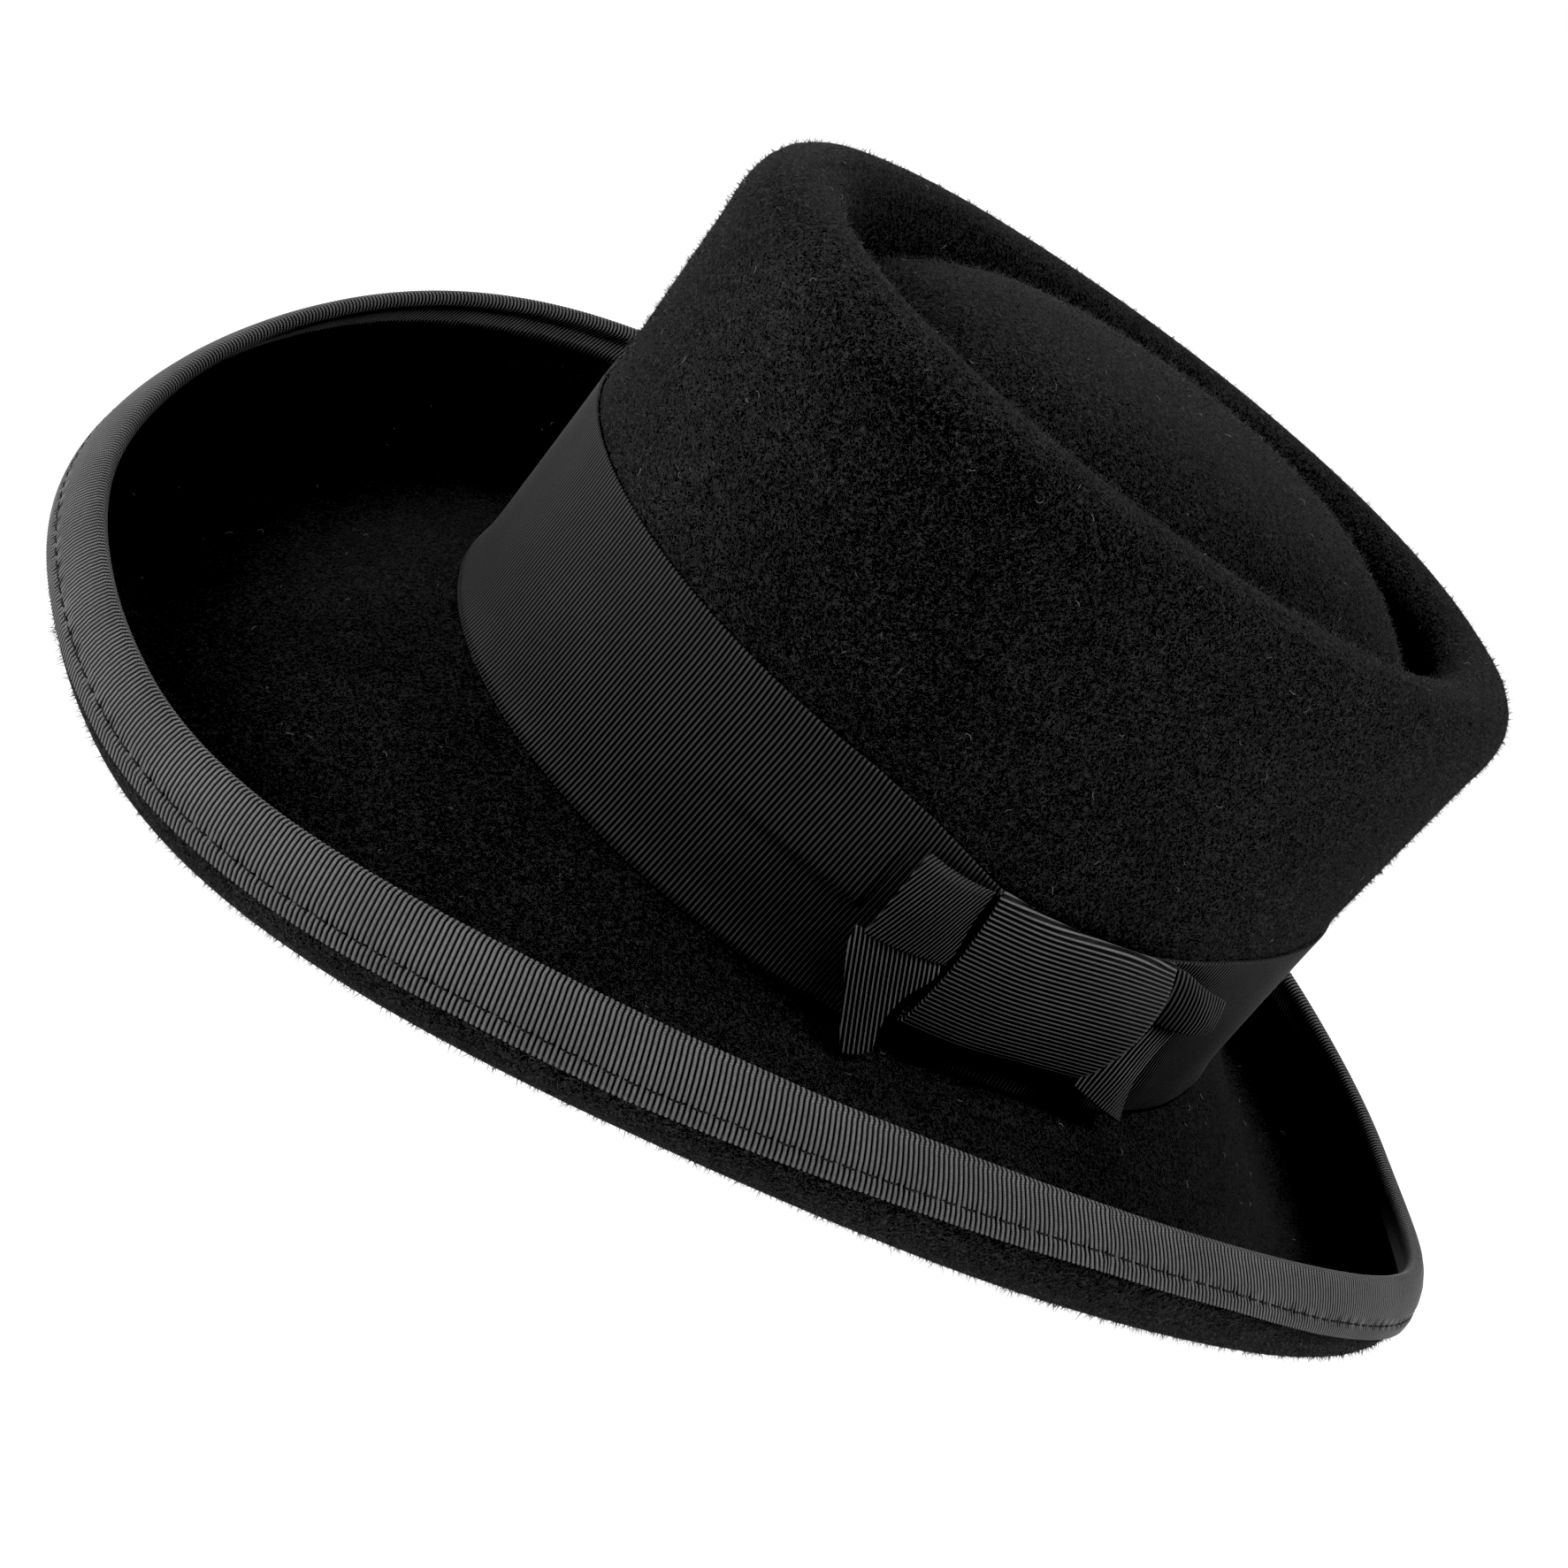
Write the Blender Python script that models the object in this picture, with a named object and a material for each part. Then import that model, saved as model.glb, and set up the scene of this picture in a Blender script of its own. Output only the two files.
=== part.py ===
"""Gambler hat: felt crown and rolled brim in one piece, bound edge, ribbon band, flat side bow.

Metres, +Z up. The front of the hat points to -Y and the wearer's left, with the bow, to +X.
The origin is the middle of the brim's outline, on the plane that the brim rests on.
Heights with names that end in HEIGHT, DEPTH or DROP are measured from the band's lower edge.
"""
import math

import bpy
import numpy as np

# Materials' thicknesses, and the air between pieces that touch
FELT = 0.002
RIBBON = 0.0007
GAP = 0.0003

# Crown, at the felt's outer face: half widths, half lengths and how far back each oval sits
BASE_SIDE = 0.0865
BASE_END = 0.1032
MID_HEIGHT = 0.048
MID_SIDE = 0.0891
MID_END = 0.1003
MID_SHIFT = -0.002
MID_EASE = 0.010
TOP_SIDE = 0.0742
TOP_END = 0.1072
TOP_SHIFT = 0.0005
TOP_SQUARENESS = 2.16
CROWN_HEIGHT = 0.1106
CROWN_LEAN = 0.0058
CROWN_SETBACK = 0.0034

# Rolled rim, the groove inside it and the dome in the middle
RIM_RADIUS = 0.0104
GROOVE_DEPTH = 0.018
GROOVE_FLOOR = 0.0028
DOME_SIDE = 0.0510
DOME_END = 0.0865
DOME_RISE = 0.0240
DOME_FULLNESS = 3.4

# Brim, at its underside: where its edge starts to curl, how far it drops, and its level foot
BREAK_RADIUS = 0.005
BRIM_CLEAR = 0.001          # from the band's lower edge down to the brim's top face
BRIM_SIDE = 0.1283
BRIM_END = 0.1688
BRIM_SQUARENESS = 2.14
BRIM_EGG = 0.02
SIDE_DROP = 0.0105
END_DROP = 0.0353
DROP_FULLNESS = 2.6
FOOT_ANGLE = math.radians(14)
FOOT_WIDTH = 0.008

# Curl of the brim's edge: its radius and turn at the side, the front and the back
CURL_SIDE_RADIUS = 0.0188
CURL_FRONT_RADIUS = 0.0108
CURL_BACK_RADIUS = 0.0122
CURL_SIDE_TURN = math.radians(128)
CURL_FRONT_TURN = math.radians(142)
CURL_BACK_TURN = math.radians(153)

# Ribbons: the binding's cover on each face, the hat band, and the bow on the wearer's left
BINDING_COVER = 0.0124
FOLD_SLACK = 0.0012         # from the felt's edge to where the binding's covers end
BAND_HEIGHT = 0.048
BAND_FLARE = 0.0010
FLARE_HEIGHT = 0.006
TUCK_DEPTH = 0.0016
BOW_WIDTH = 0.046
BOW_OFFSET = -0.0045
BOW_STAND = 0.0055
FRONT_TAIL = 0.0180
REAR_TAIL = 0.0225

# Columns round the hat, and across the bow's centre and its tails
AROUND = 56
CENTRE_COLUMNS = 6
TAIL_COLUMNS = 4

# Shape tables. Lengths are shares of the sizes that head the table.
# Rings of the dome, as shares of its half widths
DOME_RINGS = (0.28, 0.52, 0.72, 0.86, 0.95)
# Rings of the rim's roll, as degrees from level outwards
RIM_RINGS = (180, 150, 120, 90, 60, 30)
# Rings of the crown's wall, as shares of its height up to the middle of the rim
WALL_RINGS = (1.0, 0.82, 0.64, 0.46, 0.25, 0.08)
# Rings of the break between crown and brim, as degrees round it from the crown's wall
BREAK_RINGS = (30, 62)
# Rings of the brim from its break at the crown to its level foot, as shares of the way
BRIM_RINGS = (0.25, 0.5, 0.75)
# Rings of the curl: shares of the bare stretch, then of the stretch under the binding
BARE_RINGS = (1 / 3, 2 / 3)
COVERED_RINGS = (0.0, 1 / 3, 2 / 3, 1.0)

# Height of the band's top edge, as a share of BAND_HEIGHT, where the bow pinches it
BAND_TOP = (
    # plan angle in degrees, height
    (-34, 1.00), (-26, 0.965), (-20, 0.90), (-15, 0.86), (0, 0.85), (11, 0.90), (22, 0.96), (36, 1.00),
)
# Rows of the band: height, and how much of TUCK_DEPTH each takes
BAND_ROWS = (
    (0.00, 0.0), (0.125, 0.0), (0.46, 0.15), (0.50, 1.0), (0.76, 0.5), (1.00, 0.0),
)
# How the tuck grows towards the bow, as a share of TUCK_DEPTH
TUCK = (
    # plan angle in degrees, depth
    (-48, 0.0), (-40, 0.35), (-27, 1.0), (-15, 1.0), (-6, 0.0),
)
# Centre of the bow: height in BAND_HEIGHT, left and right edges in BOW_WIDTH, stand in BOW_STAND
BOW_CENTRE = (
    (0.200, -0.44, 0.42, 0.10), (0.165, -0.45, 0.45, 0.55), (0.30, -0.46, 0.53, 0.75),
    (0.50, -0.48, 0.58, 0.80), (0.70, -0.49, 0.57, 0.75), (0.895, -0.52, 0.49, 0.50),
    (0.875, -0.50, 0.46, 0.10),
)
# Tails: each row's start and end, as reach beyond the bow in FRONT_TAIL or REAR_TAIL, height in
# BAND_HEIGHT and stand in BOW_STAND
FRONT_TAIL_ROWS = (
    (1.00, 0.90, 0.40, 0.12, 0.910, 0.02), (1.02, 0.68, 0.75, 0.10, 0.700, 0.20),
    (1.04, 0.44, 1.05, 0.08, 0.490, 0.55), (0.92, 0.30, 1.10, 0.07, 0.310, 0.62),
    (0.68, 0.15, 1.15, 0.07, 0.160, 0.70), (0.34, 0.010, 1.20, 0.08, 0.035, 0.80),
)
REAR_TAIL_UPPER_ROWS = (
    (-0.10, 0.61, 0.02, -0.12, 0.82, 0.02), (0.22, 0.61, 0.45, 0.10, 0.89, 0.35),
    (0.50, 0.62, 0.75, 0.48, 0.85, 0.72), (0.80, 0.635, 0.70, 0.80, 0.81, 0.70),
    (1.00, 0.62, 0.60, 1.00, 0.70, 0.60),
)
REAR_TAIL_LOWER_ROWS = (
    (-0.12, 0.28, 0.02, -0.06, 0.45, 0.02), (0.20, 0.16, 0.55, 0.20, 0.43, 0.50),
    (0.52, 0.10, 0.85, 0.50, 0.31, 0.85), (0.80, 0.05, 0.90, 0.78, 0.17, 0.85),
)


def material(name, colour, roughness, sheen):
    """A cloth-like finish of one colour."""
    made = bpy.data.materials.new(name)
    made.use_nodes = True
    shader = made.node_tree.nodes["Principled BSDF"]
    shader.inputs["Base Color"].default_value = (*colour, 1.0)
    shader.inputs["Roughness"].default_value = roughness
    shader.inputs["Metallic"].default_value = 0.0
    shader.inputs["Sheen Weight"].default_value = sheen
    made.diffuse_color = (*colour, 1.0)
    return made


def sheet(name, grid, around, thickness, offset, finish, pole=None):
    """A closed wall made from a grid of points: rows by columns, closed round each row if around."""
    rows, columns = grid.shape[:2]
    points = [tuple(point) for point in grid.reshape(-1, 3)]
    faces = []
    for row in range(rows - 1):
        for column in range(columns if around else columns - 1):
            after = (column + 1) % columns
            low, high = row * columns, (row + 1) * columns
            faces.append((low + column, high + column, high + after, low + after))
    if pole is not None:
        points.append(tuple(pole))
        faces += [(rows * columns, column, (column + 1) % columns) for column in range(columns)]
    mesh = bpy.data.meshes.new(name)
    mesh.from_pydata(points, [], faces)
    mesh.shade_smooth()
    made = bpy.data.objects.new(name, mesh)
    made.data.materials.append(finish)
    bpy.context.scene.collection.objects.link(made)
    wall = made.modifiers.new("wall", "SOLIDIFY")
    wall.thickness = thickness
    wall.offset = offset
    wall.use_rim = True
    return made


def angles():
    """Plan angles of the columns, from the wearer's left round by the back."""
    return np.arange(AROUND) * 2 * math.pi / AROUND


def oval(phi, side, end, power):
    """Points of a rounded oval, and its outward directions."""
    cosine, sine = np.cos(phi), np.sin(phi)
    x = np.sign(cosine) * np.abs(cosine) ** (2 / power)
    y = np.sign(sine) * np.abs(sine) ** (2 / power)
    out_x = np.sign(cosine) * np.abs(x) ** (power - 1) / side
    out_y = np.sign(sine) * np.abs(y) ** (power - 1) / end
    length = np.hypot(out_x, out_y)
    return side * x, end * y, out_x / length, out_y / length


def ring(phi, side, end, shift, height, power=2.0, out=0.0):
    """A ring of the crown: an oval, pushed outwards, leaned with the crown and set on the brim."""
    x, y, out_x, out_y = oval(phi, side, end, power)
    x, y = x + out * out_x, y + out * out_y
    share = max(height, 0.0) / CROWN_HEIGHT
    z = END_DROP + height - CROWN_LEAN * share ** 2 * y / TOP_END
    return np.stack([x, y + shift + crown_middle(), z], -1)


def crown_middle():
    """How far the crown's middle lies behind the middle of the brim's outline."""
    return CROWN_SETBACK + (CURL_FRONT_RADIUS - CURL_BACK_RADIUS) / 2


def wall_value(height, base, mid, top):
    """A size of the crown's wall: straight below and above MID_HEIGHT, eased where they meet."""
    top_height = CROWN_HEIGHT - RIM_RADIUS
    below = (mid - base) / MID_HEIGHT
    above = (top - mid) / (top_height - MID_HEIGHT)
    rise = height - MID_HEIGHT
    if rise < -MID_EASE:
        return mid + below * rise
    if rise > MID_EASE:
        return mid + above * rise
    bend = (above - below) / (4 * MID_EASE) * (rise ** 2 + MID_EASE ** 2)
    return mid + (below + above) / 2 * rise + bend


def wall(phi, height, out=0.0):
    """A ring of the crown's wall at a height, pushed out from the felt's outer face."""
    side = wall_value(height, BASE_SIDE, MID_SIDE, TOP_SIDE)
    end = wall_value(height, BASE_END, MID_END, TOP_END)
    shift = wall_value(height, 0.0, MID_SHIFT, TOP_SHIFT)
    power = wall_value(height, 2.0, 2.0, TOP_SQUARENESS)
    return ring(phi, side, end, shift, height, power, out)


def crown_rings(phi):
    """The crown's inner face from the dome's outermost ring out and down to the head opening."""
    floor = CROWN_HEIGHT - GROOVE_DEPTH - FELT
    rings = []
    for share in DOME_RINGS + (1.0,):
        height = floor + DOME_RISE * (1 - share ** DOME_FULLNESS)
        rings.append(ring(phi, DOME_SIDE * share, DOME_END * share, TOP_SHIFT, height, TOP_SQUARENESS))
    rings.append(ring(phi, DOME_SIDE, DOME_END, TOP_SHIFT, floor, TOP_SQUARENESS, GROOVE_FLOOR))
    roll = RIM_RADIUS - FELT
    for degrees in RIM_RINGS:
        turn = math.radians(degrees)
        height = CROWN_HEIGHT - RIM_RADIUS + roll * math.sin(turn)
        out = roll * math.cos(turn)
        rings.append(ring(phi, TOP_SIDE - RIM_RADIUS, TOP_END - RIM_RADIUS, TOP_SHIFT, height,
                          TOP_SQUARENESS, out))
    for share in WALL_RINGS:
        rings.append(wall(phi, share * (CROWN_HEIGHT - RIM_RADIUS), -FELT))
    return rings


def drop(phi):
    """Depth of the brim's lowest line below the band: level at the front and back feet."""
    from_side = np.arcsin(np.minimum(np.abs(np.sin(phi)), 1.0))
    share = np.minimum(from_side / (math.pi / 2 - FOOT_ANGLE), 1.0)
    return SIDE_DROP + (END_DROP - SIDE_DROP) * np.sin(math.pi / 2 * share) ** DROP_FULLNESS


def around_value(phi, side, front, back):
    """A size of the curl between its values at the sides, the front and the back."""
    ends = np.where(np.sin(phi) < 0, front, back)
    return side + (ends - side) * np.sin(phi) ** 2


def curl_radius(phi):
    return around_value(phi, CURL_SIDE_RADIUS, CURL_FRONT_RADIUS, CURL_BACK_RADIUS)


def curl_turn(phi):
    return around_value(phi, CURL_SIDE_TURN, CURL_FRONT_TURN, CURL_BACK_TURN)


def curl_start(phi):
    """The line where the brim's underside starts to curl, and its outward directions."""
    x, y, out_x, out_y = oval(phi, BRIM_SIDE, BRIM_END, BRIM_SQUARENESS)
    y = y + (CURL_FRONT_RADIUS - CURL_BACK_RADIUS) / 2
    z = END_DROP - drop(phi)
    return x * (1 + BRIM_EGG * np.sin(phi)), y, z, out_x, out_y


def curl_ring(phi, turn, radius):
    """A ring of the curl: at an angle round its middle and a distance from it."""
    x, y, z, out_x, out_y = curl_start(phi)
    reach = radius * np.sin(turn)
    rise = curl_radius(phi) - radius * np.cos(turn)
    return np.stack([x + out_x * reach, y + out_y * reach, z + rise], -1)


def brim_rings(phi):
    """The brim's underside from the head opening to the curl's start."""
    rings = []
    for degrees in BREAK_RINGS:
        turn = math.radians(degrees)
        down = BREAK_RADIUS - FELT - BRIM_CLEAR - BREAK_RADIUS * math.sin(turn)
        rings.append(wall(phi, 0.0, -FELT + BREAK_RADIUS * (1 - math.cos(turn))) + (0, 0, down))
    first = rings[-1]
    x, y, z, out_x, out_y = curl_start(phi)
    foot = np.stack([x - out_x * FOOT_WIDTH, y - out_y * FOOT_WIDTH, z], -1)
    for share in BRIM_RINGS:
        point = first + (foot - first) * share
        fall = share + share ** 2 - share ** 3
        point[:, 2] = first[:, 2] + (foot[:, 2] - first[:, 2]) * fall
        rings.append(point)
    return rings + [foot, np.stack([x, y, z], -1)]


def covered_turns(phi):
    """Turns of the curl's rings under the binding, from its selvedge to the felt's edge."""
    last = curl_turn(phi)
    first = last - BINDING_COVER / curl_radius(phi)
    return [first + (last - first) * share for share in COVERED_RINGS]


def felt_body(finish):
    """Crown and brim in one piece of felt, open below for the head."""
    phi = angles()
    covered = covered_turns(phi)
    rings = crown_rings(phi) + brim_rings(phi)
    rings += [curl_ring(phi, covered[0] * share, curl_radius(phi)) for share in BARE_RINGS]
    covered[-1] = covered[-1] - FOLD_SLACK / curl_radius(phi)
    rings += [curl_ring(phi, turn, curl_radius(phi)) for turn in covered]
    top = CROWN_HEIGHT - GROOVE_DEPTH - FELT + DOME_RISE + END_DROP
    pole = (0.0, TOP_SHIFT + crown_middle(), top)
    return sheet("felt_body", np.array(rings), True, FELT, 1.0, finish, pole)


def brim_binding(finish):
    """Ribbon folded in half round the brim's edge."""
    phi = angles()
    radius = curl_radius(phi)
    away = GAP + RIBBON / 2
    covered = covered_turns(phi)
    outer = [curl_ring(phi, turn, radius + away) for turn in covered]
    inner = [curl_ring(phi, turn, radius - FELT - away) for turn in reversed(covered)]
    clear = (FELT / 2 + away) / radius
    fold = curl_ring(phi, covered[-1] + clear, radius - FELT / 2)
    return sheet("brim_binding", np.array(inner[::-1] + [fold] + outer[::-1]), True, RIBBON, 0.0, finish)


def table_value(table, degrees):
    """A value read from a table of angle and share, straight between its rows."""
    columns = np.array(table)
    return np.interp(degrees, columns[:, 0], columns[:, 1])


def signed_degrees(phi):
    return np.degrees((phi + math.pi) % (2 * math.pi) - math.pi)


def hat_band(finish):
    """Wide ribbon round the crown, pinched and tucked towards the bow."""
    phi = angles()
    degrees = signed_degrees(phi)
    top = table_value(BAND_TOP, degrees)
    tuck = TUCK_DEPTH * table_value(TUCK, degrees)
    rows = []
    for height_share, tuck_share in BAND_ROWS:
        points = []
        for column, angle in enumerate(phi):
            height = BAND_HEIGHT * height_share * top[column]
            flare = BAND_FLARE * max(1 - height / FLARE_HEIGHT, 0.0)
            out = GAP + RIBBON / 2 + flare + tuck[column] * tuck_share
            points.append(wall(np.array([angle]), height, out)[0])
        rows.append(points)
    return sheet("hat_band", np.array(rows), True, RIBBON, 0.0, finish)


def on_band(along, height, stand):
    """A point at a distance along the band, a height, and a clear stand off its outer face."""
    phi = np.array([along / MID_END])
    band_face = 2 * GAP + 1.5 * RIBBON
    return wall(phi, BAND_HEIGHT * height, band_face + BOW_STAND * stand)[0]


def bow_centre(finish):
    """Wide ribbon wrapped over the bow, with its upper and lower edges turned in."""
    rows = []
    for height, left, right, stand in BOW_CENTRE:
        row = []
        for share in np.linspace(0, 1, CENTRE_COLUMNS):
            along = BOW_OFFSET + BOW_WIDTH * (left + (right - left) * share)
            row.append(on_band(along, height, stand))
        rows.append(row)
    return sheet("bow_centre", np.array(rows), False, RIBBON, 0.0, finish)


def bow_tail(name, rows, edge, reach, finish):
    """A tail of the bow: each row runs from its outer end to its end beside the centre."""
    grid = []
    for start_along, start_height, start_stand, end_along, end_height, end_stand in rows:
        row = []
        for share in np.linspace(0, 1, TAIL_COLUMNS):
            along = edge + reach * (start_along + (end_along - start_along) * share)
            height = start_height + (end_height - start_height) * share
            row.append(on_band(along, height, start_stand + (end_stand - start_stand) * share))
        grid.append(row)
    return sheet(name, np.array(grid), False, RIBBON, 0.0, finish)


def build():
    felt = material("felt_black", (0.012, 0.012, 0.013), 0.95, 0.3)
    grosgrain = material("grosgrain_charcoal", (0.045, 0.045, 0.047), 0.75, 0.1)
    felt_body(felt)
    brim_binding(grosgrain)
    hat_band(grosgrain)
    bow_centre(grosgrain)
    left = BOW_OFFSET - BOW_WIDTH / 2
    right = BOW_OFFSET + BOW_WIDTH / 2
    bow_tail("bow_front_tail", FRONT_TAIL_ROWS, left, -FRONT_TAIL, grosgrain)
    bow_tail("bow_rear_tail_upper", REAR_TAIL_UPPER_ROWS, right, REAR_TAIL, grosgrain)
    bow_tail("bow_rear_tail_lower", REAR_TAIL_LOWER_ROWS, right, REAR_TAIL, grosgrain)


for thing in list(bpy.data.objects):
    bpy.data.objects.remove(thing, do_unlink=True)
build()
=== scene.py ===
import math

import bpy
import numpy as np
from mathutils import Matrix, Vector


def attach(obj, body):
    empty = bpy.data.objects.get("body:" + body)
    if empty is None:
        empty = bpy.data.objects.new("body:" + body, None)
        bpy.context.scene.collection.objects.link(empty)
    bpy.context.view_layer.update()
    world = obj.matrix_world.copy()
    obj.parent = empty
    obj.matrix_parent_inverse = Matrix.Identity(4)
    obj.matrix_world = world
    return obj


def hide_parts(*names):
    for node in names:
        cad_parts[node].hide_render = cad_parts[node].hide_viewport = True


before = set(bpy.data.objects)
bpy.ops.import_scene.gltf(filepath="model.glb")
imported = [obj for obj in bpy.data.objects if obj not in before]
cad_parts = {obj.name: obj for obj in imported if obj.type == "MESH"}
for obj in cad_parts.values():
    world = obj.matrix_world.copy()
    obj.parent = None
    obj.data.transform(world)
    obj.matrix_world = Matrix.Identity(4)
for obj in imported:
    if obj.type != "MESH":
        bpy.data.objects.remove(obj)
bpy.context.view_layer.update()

# The hat's own sizes in metres, as the solids have them
FELT = 0.002
RIBBON = 0.0005
SNUG = 0.00015
BASE_SIDE, BASE_END = 0.0865, 0.1032
MID_HEIGHT, MID_SIDE, MID_END, MID_SHIFT, MID_EASE = 0.048, 0.0891, 0.1003, -0.002, 0.010
TOP_SIDE, TOP_END, TOP_SHIFT, TOP_SQUARENESS = 0.0742, 0.1072, 0.0005, 2.16
CROWN_HEIGHT, CROWN_LEAN, CROWN_SETBACK = 0.1106, 0.0058, 0.0034
RIM_RADIUS, GROOVE_DEPTH, GROOVE_FLOOR = 0.0104, 0.018, 0.0028
DOME_SIDE, DOME_END, DOME_RISE, DOME_FULLNESS = 0.0510, 0.0865, 0.0240, 3.4
BREAK_RADIUS, BRIM_CLEAR = 0.005, 0.001
BRIM_SIDE, BRIM_END, BRIM_SQUARENESS, BRIM_EGG = 0.1283, 0.1688, 2.14, 0.02
SIDE_DROP, END_DROP, DROP_FULLNESS = 0.0105, 0.0353, 2.6
FOOT_ANGLE, FOOT_WIDTH = math.radians(14), 0.008
CURL_RADIUS = (0.0188, 0.0108, 0.0122)
CURL_TURN = (math.radians(128), math.radians(142), math.radians(153))
BINDING_COVER, FOLD_SLACK = 0.0124, 0.0012
BAND_HEIGHT, BAND_FLARE, FLARE_HEIGHT, TUCK_DEPTH = 0.048, 0.0010, 0.006, 0.0016
BAND_FACE = 0.00165
CROWN_MIDDLE = CROWN_SETBACK + (CURL_RADIUS[1] - CURL_RADIUS[2]) / 2

MM = 0.001

# Weave: the ribs' spacing on each ribbon, their height, and the fine threads that cross them
BINDING_PITCH, BAND_PITCH = 0.00108, 0.00103
CENTRE_PITCH, FOLD_PITCH, FLAP_PITCH, REAR_PITCH = 0.00106, 0.00080, 0.00090, 0.00125
FOLD_SLANT, FLAP_SLANT = math.radians(13), math.radians(27)
RIB_HEIGHT = 0.00026
THREAD_PITCH = 0.00034
RIB_END = 0.00022

# The binding's seam, from the ribbon's lower edge, and its stitches
SEAM_INSET = 0.0033
STITCH_PITCH = 0.0041
STITCH_LENGTH = 0.0029
THREAD_RADIUS = 0.00022
PIT_DEPTH = 0.00045
SEAM_PRESS = 0.00018
SEAM_PUFF = 0.00018
SEAM_HALF_WIDTH, PIT_HALF_WIDTH, PUFF_CLEAR = 0.0006, 0.0004, 0.001

# Rows of the binding's mesh: near its lower edge, either side of the seam, on to the brim's edge,
# over the edge in degrees, and down the inside
BINDING_EDGE_ROWS = (0.0, 0.0007)
SEAM_ROWS = (-0.0012, -0.0005, 0.0, 0.0005, 0.0021)
PAST_SEAM_SHARES = (0.35, 0.70, 1.0)
FOLD_DEGREES = (36, 72, 108, 144)
INSIDE_ROWS = (0.0, 0.0030, 0.0060, 0.0093, 0.0124)

# The felt's fibres and the lint on it
NAP_LENGTH = (0.0006, 0.0022)
NAP_LEAN = (5, 75)
CROWN_WIDTH, DISH_WIDTH, UNDER_WIDTH = 0.00009, 0.00009, 0.00010
CROWN_FIBRES, DISH_FIBRES, UNDER_FIBRES = 48000, 14000, 40000
NAP_OVERLAP, NAP_CLEAR = 0.0005, 0.0003
LINT_LENGTH = (0.0005, 0.0020)
LINT_RADIUS = 0.00005
LINT_HAIRS = 380
LINT_BEND, LINT_LEAST_BEND, LINT_LIFT = 2.6, 0.4, 0.0004
LINT_STEPS = 9
LINT_EDGE_ROWS, UNDER_FIRST_ROWS = 8, 8

# Meshes' fineness
FELT_COLUMNS = 256
FELT_STEP = 0.0034
BINDING_COLUMNS_PER_RIB = 4
BAND_COLUMNS_PER_RIB = 5
BINDING_BACK_ROWS = (0, 0.25, 0.5, 0.61, 0.8, 1.0)
BAND_BACK_ROWS = (0, 0.3, 0.6, 1.0)

# Felt: name, grey of its fibres and sheen. One felt: the dish's copy is darker as painted shade, and the
# underside's copy is paler as painted light. Fibres: name and grey
CROWN_FELT = ("black_wool_felt", 0.064, 0.075)
# painted shade: the crown's felt made darker for the brim's dish
DISH_FELT_PAINTED_SHADE = ("black_wool_felt_dish_painted_shade", 0.046, 0.05)
# painted light: the crown's felt made paler for the brim's underside
UNDER_FELT_PAINTED_LIGHT = ("black_wool_felt_under_painted_light", 0.075, 0.06)
CROWN_FIBRE = ("black_wool_fibre", 0.11)
# painted shade: the crown's fibres made darker for the dish
DISH_FIBRE_PAINTED_SHADE = ("black_wool_fibre_painted_shade", 0.060)
PIT_GREY = 0.0005

# Ribbons: name, how far up a rib from its groove the painted highlight starts, and its grey; rib backs and
# thread beads are lighter as painted highlight, grooves dark as painted shade
BINDING_CLOTH = ("binding_grosgrain", 0.40, 0.19)
# painted shade: the bow's ribbon made darker where it runs round the crown low in the brim's curl
BAND_CLOTH_PAINTED_SHADE = ("band_grosgrain_painted_shade", 0.62, 0.066)
BOW_CLOTH = ("bow_grosgrain", 0.72, 0.175)
# painted shade: the bow's ribbon made darker for its two folds
FOLD_CLOTH_PAINTED_SHADE = ("bow_grosgrain_painted_shade", 0.68, 0.085)
# painted shade in the grooves between ribs
GROOVE_PAINTED_SHADE_GREY = 0.001

# Camera: where it looks, from which side, and how it is turned
CAMERA_TARGET = (0.0, 0.0027, 0.0853)
CAMERA_AZIMUTH = math.radians(51.49)
CAMERA_HEIGHT = math.radians(19.34)
CAMERA_ROLL = math.radians(-40.54)
CAMERA_DISTANCE = 0.65805
CAMERA_PAN = math.radians(1.23)
CAMERA_TILT = math.radians(-4.63)
SENSOR = 36.0
LENS = 69.956
BLACK_LEVEL = 0.008

# Studio: a floor and a horizon that glow, and square lights that aim at a height on the hat
FLOOR_REACH, FLOOR_GLOW = 30.0, 1.0
HORIZON_GLOW, SKY_GLOW, HORIZON_TOP = 1.1, 0.02, 0.06
LIGHT_SIZE, LIGHT_DISTANCE, LIGHT_AIM = 0.6, 1.2, 0.06
LIGHTS = (
    # name, azimuth from the front and height in degrees, power in watts
    ("front", -25, 12, 9.5), ("key", 20, 14, 4.8), ("side", 100, 16, 0.3), ("top", 80, 60, 4.6),
    ("back", 140, 55, 9.5), ("far_side", 250, 14, 6.0),
)


def wall_value(height, base, mid, top):
    """A size of the crown's wall: straight below and above MID_HEIGHT, eased where they meet."""
    below = (mid - base) / MID_HEIGHT
    above = (top - mid) / (CROWN_HEIGHT - RIM_RADIUS - MID_HEIGHT)
    rise = height - MID_HEIGHT
    bend = (above - below) / (4 * MID_EASE) * (rise ** 2 + MID_EASE ** 2)
    eased = mid + (below + above) / 2 * rise + bend
    straight = mid + np.where(rise < 0, below, above) * rise
    return np.where(np.abs(rise) > MID_EASE, straight, eased)


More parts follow.
